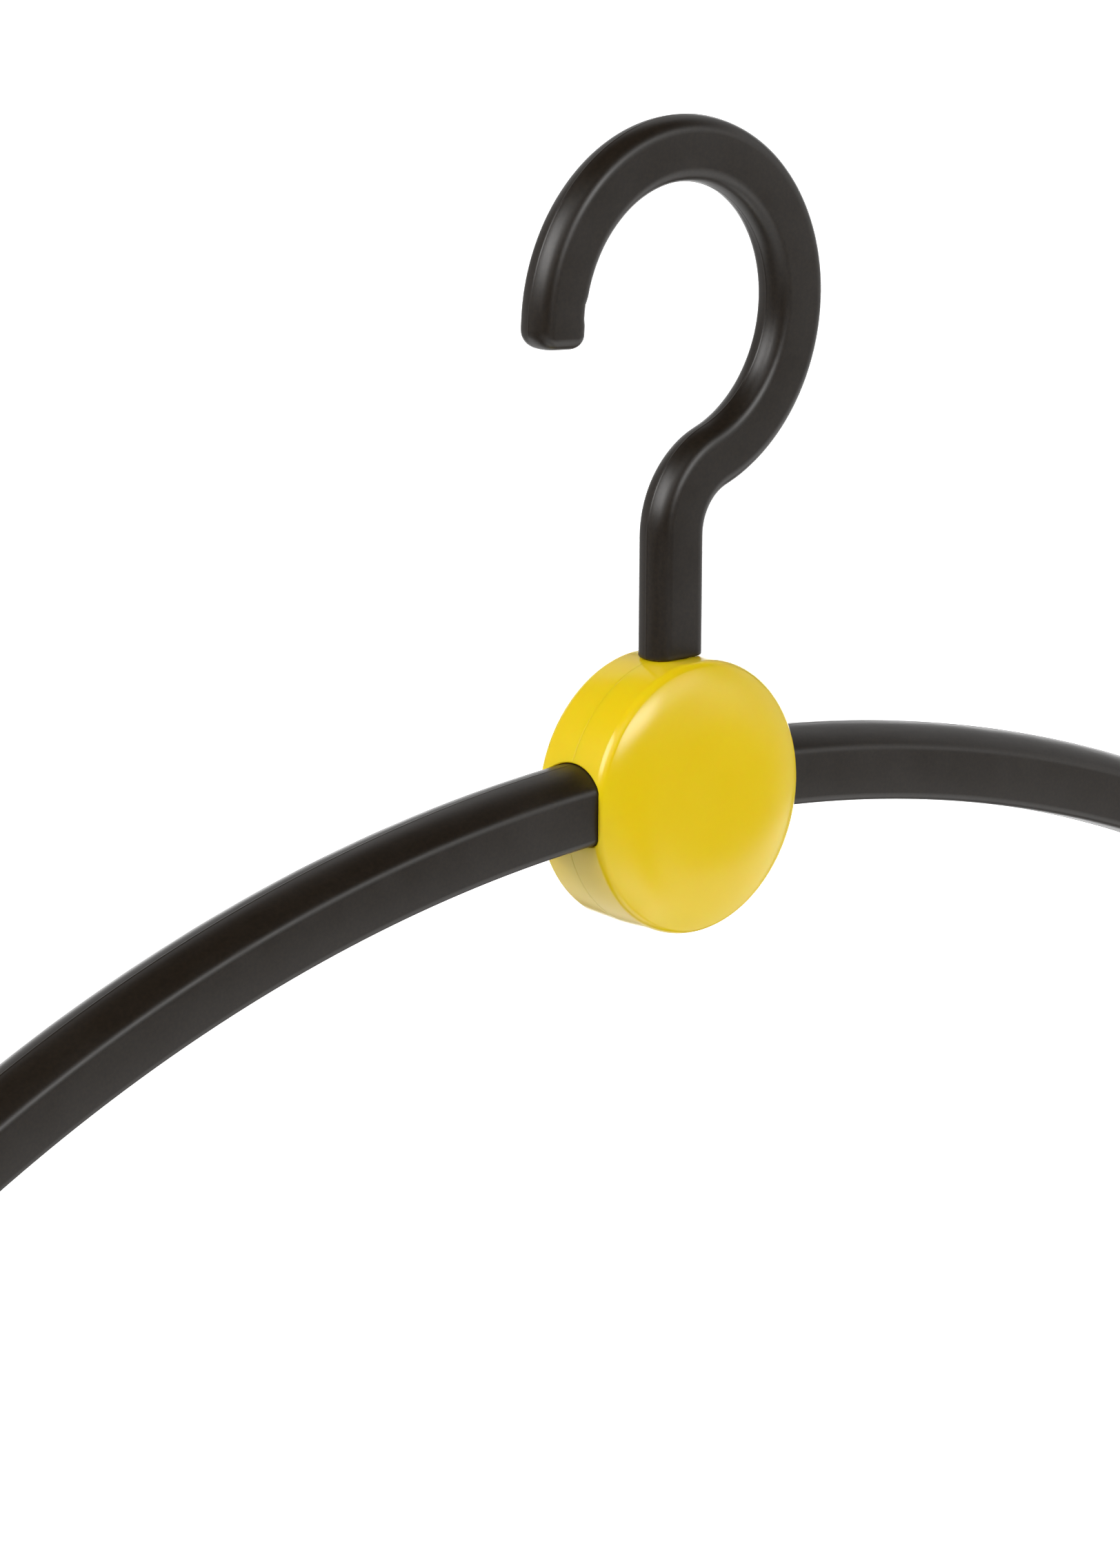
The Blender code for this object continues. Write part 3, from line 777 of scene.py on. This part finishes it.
# pieces that keep their CAD meshes
for node, material in (("swivel_bush", ACETAL), ("thrust_washer", ZINC),
                       ("retaining_clip", SPRING), ("bow_locking_pin", ZINC)):
    paint(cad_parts[node].data, material)

# ------------------------------------------------------------------ studio
POWER = 1.06                              # scales all the lights below
BACKDROP = 1.05                           # what the camera itself sees
# level, azimuth, elevation, half width, half height, blur of the edges; angles in degrees
STUDIO = (
    (5.95, -100.4, 32.3, 23.8, 13.4, 2.1),     # softbox on the left
    (1.30, -55.0, 36.0, 20.0, 17.0, 6.0),      # its spill towards the front
    (6.05, 8.0, 17.5, 13.0, 7.0, 2.0),         # lamp at the front
    (1.80, 22.0, 22.0, 22.0, 9.0, 3.5),        # its spill towards the right
    (0.56, -35.0, -38.0, 42.0, 22.0, 6.0),     # table top, front left
    (1.05, 63.1, -37.8, 25.5, 20.2, 1.0),      # table top, front right
    (1.06, 22.3, -34.5, 10.6, 9.4, 5.7),       # table top, brighter patch under the lamp
    (0.54, -0.5, -55.2, 28.3, 26.4, 2.0),      # table top, front
    (0.48, -157.6, -15.2, 45.0, 35.0, 15.2),   # table top and wall, behind on the left
    (1.50, 0.0, -84.0, 16.0, 14.0, 4.0),       # table top, almost straight below
    (1.02, 175.0, -54.3, 35.9, 16.1, 2.0),     # table top, behind
    (2.77, 132.5, -8.7, 25.6, 18.6, 2.0),      # lit backdrop, behind on the right
    (0.58, 125.1, 33.1, 54.9, 15.0, 2.0),      # wall above the backdrop
    (0.62, 56.5, 11.0, 31.8, 10.7, 4.5),       # wall on the right
    (0.56, 47.7, 1.5, 8.4, 9.2, 1.7),          # panel at the front right
    (0.51, 79.3, -10.3, 20.3, 16.7, 4.8),      # wall on the right, low
)


def softbox(graph, way, level, azimuth, elevation, half_wide, half_high, blur):
    """Soft-edged rectangle of light far away; azimuth runs from the front (-Y) towards +X."""
    azimuth, elevation = math.radians(azimuth), math.radians(elevation)
    centre = Vector((math.sin(azimuth) * math.cos(elevation),
                     -math.cos(azimuth) * math.cos(elevation), math.sin(elevation)))
    side = Vector((math.cos(azimuth), math.sin(azimuth), 0.0))

    def share_of(axis):
        node = graph.add("VectorMath", {0: way, 1: axis}, operation="DOT_PRODUCT")
        return node.outputs["Value"]

    front = share_of(centre)
    shape = graph.remap(front, span=(0.0, 0.05))
    for axis, half in ((side, half_wide), (centre.cross(side), half_high)):
        angle = graph.calc("ABSOLUTE", graph.calc("ARCTAN2", share_of(axis), front))
        span = (math.radians(half - 2.4 * blur), math.radians(half + 2.4 * blur))
        edge = graph.remap(angle, span=span, to=(1.0, 0.0), kind="SMOOTHSTEP")
        shape = graph.calc("MULTIPLY", shape, edge)
    return graph.calc("MULTIPLY", shape, level)


def build_world():
    """Softboxes light the hanger, while the camera sees an even backdrop."""
    world = bpy.data.worlds.new("studio")
    bpy.context.scene.world = world
    graph = Graph(world)
    way = graph.add("TexCoord", {}).outputs["Generated"]
    total = None
    for level, *shape in STUDIO:
        light = softbox(graph, way, POWER * level, *shape)
        total = light if total is None else graph.calc("ADD", total, light)
    seen = graph.add("LightPath", {}).outputs["Is Camera Ray"]
    unseen = graph.calc("SUBTRACT", 1.0, seen)
    strength = graph.calc("ADD", graph.calc("MULTIPLY", total, unseen),
                          graph.calc("MULTIPLY", seen, BACKDROP))
    graph.fill(graph.nodes["Background"], {"Strength": strength, "Color": (1.0, 1.0, 1.0)})


def build_floor():
    """Pale glowing floor that only the camera sees."""
    half, height = 6, -0.62               # metres
    mesh = bpy.data.meshes.new("floor")
    mesh.from_pydata([(-half, -half, height), (half, -half, height), (half, half, height),
                      (-half, half, height)], [], [(0, 1, 2, 3)])
    floor = bpy.data.objects.new("floor", mesh)
    bpy.context.scene.collection.objects.link(floor)
    graph = Graph(bpy.data.materials.new("pale_floor"))
    shader = graph.nodes["Principled BSDF"]
    graph.fill(shader, {"Base Color": (0.86, 0.86, 0.86), "Roughness": 0.8,
                        "Emission Color": (1.0, 1.0, 1.0), "Emission Strength": 0.9})
    clear = graph.add("BsdfTransparent", {})
    seen = graph.add("LightPath", {}).outputs["Is Camera Ray"]
    choice = graph.add("MixShader", {"Fac": seen, 1: clear.outputs["BSDF"],
                                     2: shader.outputs["BSDF"]})
    graph.fill(graph.nodes["Material Output"], {"Surface": choice.outputs["Shader"]})
    mesh.materials.append(graph.owner)


def build_camera():
    """Long lens at the front left, a little above the hub; yaw turns from +Y towards +X."""
    yaw, pitch, roll = math.radians(42.748), math.radians(-12.987), math.radians(0.382)
    place = Vector((-0.8711145, -0.9138628, 0.2921782 + HUB_Z * MM))      # metres
    lens = bpy.data.cameras.new("camera")
    lens.sensor_width = 36.0
    lens.lens = 166.456464
    lens.clip_start, lens.clip_end = 0.01, 50.0
    camera = bpy.data.objects.new("camera", lens)
    bpy.context.scene.collection.objects.link(camera)
    ahead = Vector((math.sin(yaw) * math.cos(pitch), math.cos(yaw) * math.cos(pitch),
                    math.sin(pitch)))
    right = Vector((math.cos(yaw), -math.sin(yaw), 0.0))
    up = right.cross(ahead)
    rolled_right = right * math.cos(roll) + up * math.sin(roll)
    rolled_up = up * math.cos(roll) - right * math.sin(roll)
    turn = Matrix((rolled_right, rolled_up, -ahead)).transposed().to_4x4()
    camera.matrix_world = Matrix.Translation(place) @ turn
    bpy.context.scene.camera = camera


build_world()
build_floor()
build_camera()
bpy.context.scene.view_settings.view_transform = "Standard"
bpy.context.scene.view_settings.look = "None"
